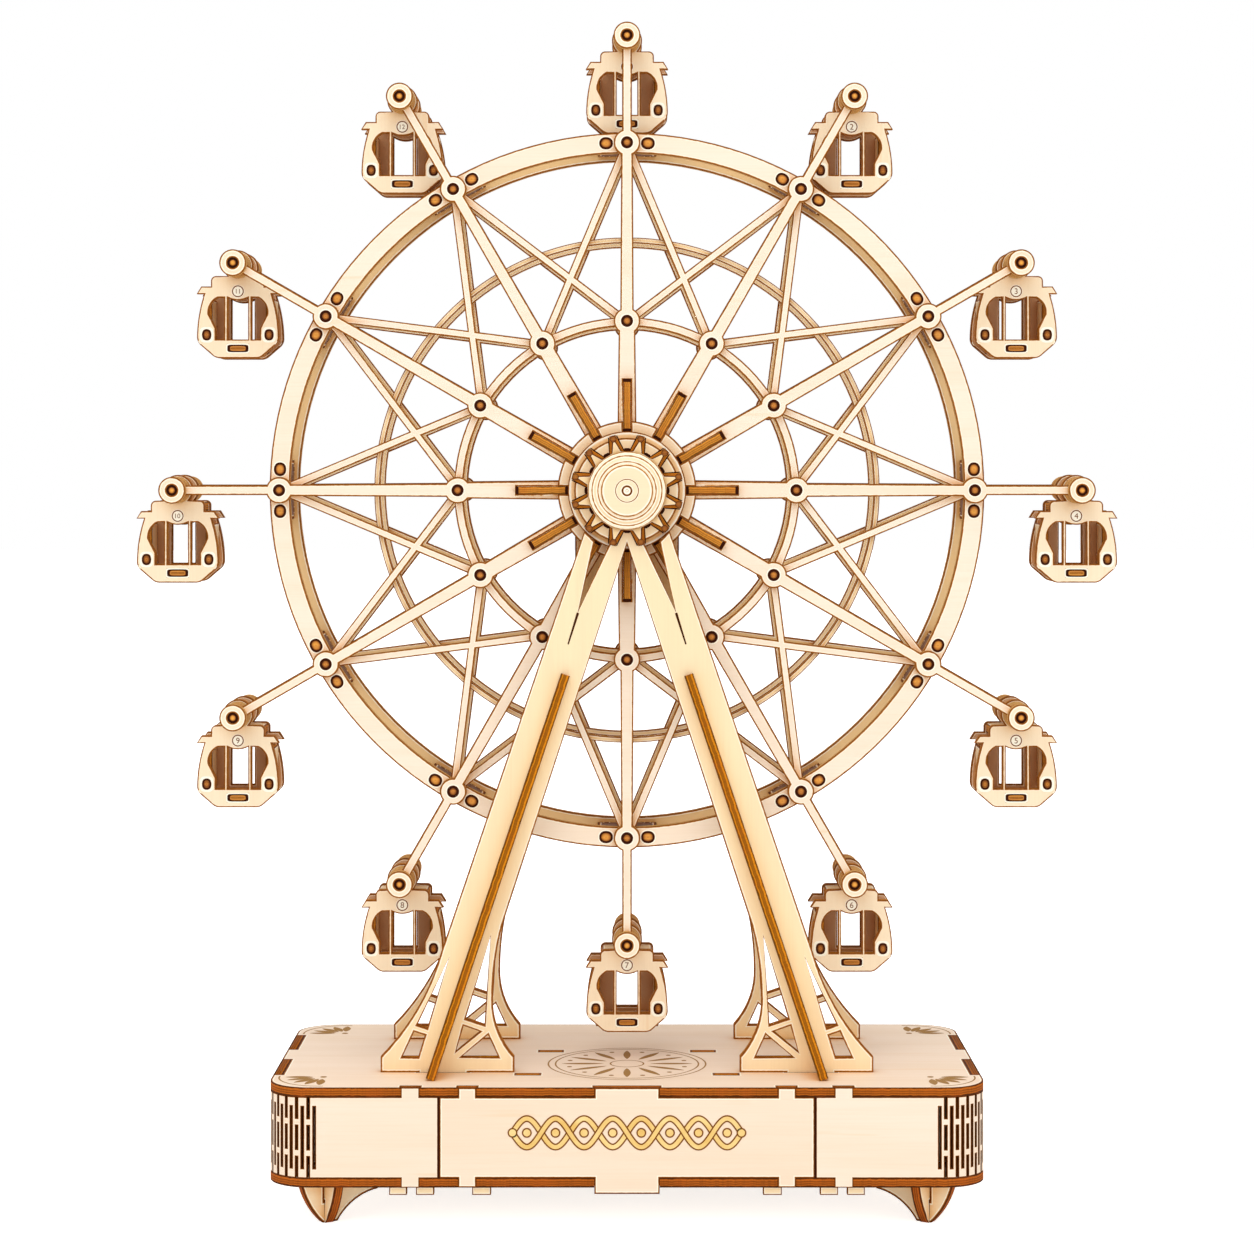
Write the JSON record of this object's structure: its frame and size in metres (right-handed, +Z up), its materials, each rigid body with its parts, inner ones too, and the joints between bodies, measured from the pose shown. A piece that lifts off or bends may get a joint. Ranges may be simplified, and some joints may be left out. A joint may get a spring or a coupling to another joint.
{
  "type": "crank ferris wheel toy",
  "caption": "Laser-cut plywood model ferris wheel with hanging cabins, turned by a small hand crank on the hub axle, on a box with bent-wood corners.",
  "frame": {"origin": "on the floor under the middle of the object", "axes": "+Z up, +X to the right and +Y to the back as seen from the front, the wheel turns about Y"},
  "size_m": [0.2738, 0.09, 0.3265],
  "materials": {
    "plywood": "bare laser-cut basswood plywood with browned edges",
    "bamboo_dowel": "bare round dowel",
    "turned_wood": "bare turned wood"
  },
  "bodies": {
    "base": {"bearing_plates": "plywood", "bottom_plate": "plywood", "deck_plate": "plywood", "front_a_frame": "plywood", "front_feet": "plywood", "front_leg_ribs": "plywood", "front_panel": "plywood", "front_star": "plywood", "inner_rib_front": "plywood", "inner_rib_rear": "plywood", "left_side_wrap": "plywood", "rear_a_frame": "plywood", "rear_boss": "plywood", "rear_feet": "plywood", "rear_leg_ribs": "plywood", "rear_panel": "plywood", "right_side_wrap": "plywood"},
    "wheel": {"front_spokes": "plywood", "rear_spokes": "plywood", "front_lattice": "plywood", "rear_lattice": "plywood", "middle_rings": "plywood", "rim_spacers": "plywood", "hub_gussets": "plywood", "front_hub_ring": "plywood", "rear_hub_ring": "plywood", "hub_core": "plywood", "axle": "bamboo_dowel", "front_cap": "turned_wood", "pivot_rods": "bamboo_dowel", "pivot_washers": "plywood", "pivot_spacers": "plywood", "crank_arm": "plywood", "crank_pin": "bamboo_dowel", "crank_cap": "plywood"},
    "crank_knob": {"crank_knob": "turned_wood"},
    "gondola_01": {"gondola_01_faces": "plywood", "gondola_01_shell": "plywood"},
    "gondola_02": {"gondola_02_faces": "plywood", "gondola_02_shell": "plywood"},
    "gondola_03": {"gondola_03_faces": "plywood", "gondola_03_shell": "plywood"},
    "gondola_04": {"gondola_04_faces": "plywood", "gondola_04_shell": "plywood"},
    "gondola_05": {"gondola_05_faces": "plywood", "gondola_05_shell": "plywood"},
    "gondola_06": {"gondola_06_faces": "plywood", "gondola_06_shell": "plywood"},
    "gondola_07": {"gondola_07_faces": "plywood", "gondola_07_shell": "plywood"},
    "gondola_08": {"gondola_08_faces": "plywood", "gondola_08_shell": "plywood"},
    "gondola_09": {"gondola_09_faces": "plywood", "gondola_09_shell": "plywood"},
    "gondola_10": {"gondola_10_faces": "plywood", "gondola_10_shell": "plywood"},
    "gondola_11": {"gondola_11_faces": "plywood", "gondola_11_shell": "plywood"},
    "gondola_12": {"gondola_12_faces": "plywood", "gondola_12_shell": "plywood"}
  },
  "joints": [
    {"name": "wheel_spin", "type": "hinge", "parent": "base", "child": "wheel", "pos_m": [0, 0, 0.1969], "axis": [0, 1, 0], "continuous": true},
    {"name": "crank_knob_spin", "type": "hinge", "parent": "wheel", "child": "crank_knob", "pos_m": [0.01111, 0, 0.16796], "axis": [0, 1, 0], "continuous": true},
    {"name": "gondola_01_swing", "type": "hinge", "parent": "wheel", "child": "gondola_01", "pos_m": [0, 0, 0.3223], "axis": [0, 1, 0], "continuous": true},
    {"name": "gondola_02_swing", "type": "hinge", "parent": "wheel", "child": "gondola_02", "pos_m": [0.0627, 0, 0.3055], "axis": [0, 1, 0], "continuous": true},
    {"name": "gondola_03_swing", "type": "hinge", "parent": "wheel", "child": "gondola_03", "pos_m": [0.1086, 0, 0.2596], "axis": [0, 1, 0], "continuous": true},
    {"name": "gondola_04_swing", "type": "hinge", "parent": "wheel", "child": "gondola_04", "pos_m": [0.1254, 0, 0.1969], "axis": [0, 1, 0], "continuous": true},
    {"name": "gondola_05_swing", "type": "hinge", "parent": "wheel", "child": "gondola_05", "pos_m": [0.1086, 0, 0.1342], "axis": [0, 1, 0], "continuous": true},
    {"name": "gondola_06_swing", "type": "hinge", "parent": "wheel", "child": "gondola_06", "pos_m": [0.0627, 0, 0.0883], "axis": [0, 1, 0], "continuous": true},
    {"name": "gondola_07_swing", "type": "hinge", "parent": "wheel", "child": "gondola_07", "pos_m": [0, 0, 0.0715], "axis": [0, 1, 0], "continuous": true},
    {"name": "gondola_08_swing", "type": "hinge", "parent": "wheel", "child": "gondola_08", "pos_m": [-0.0627, 0, 0.0883], "axis": [0, 1, 0], "continuous": true},
    {"name": "gondola_09_swing", "type": "hinge", "parent": "wheel", "child": "gondola_09", "pos_m": [-0.1086, 0, 0.1342], "axis": [0, 1, 0], "continuous": true},
    {"name": "gondola_10_swing", "type": "hinge", "parent": "wheel", "child": "gondola_10", "pos_m": [-0.1254, 0, 0.1969], "axis": [0, 1, 0], "continuous": true},
    {"name": "gondola_11_swing", "type": "hinge", "parent": "wheel", "child": "gondola_11", "pos_m": [-0.1086, 0, 0.2596], "axis": [0, 1, 0], "continuous": true},
    {"name": "gondola_12_swing", "type": "hinge", "parent": "wheel", "child": "gondola_12", "pos_m": [-0.0627, 0, 0.3055], "axis": [0, 1, 0], "continuous": true}
  ]
}
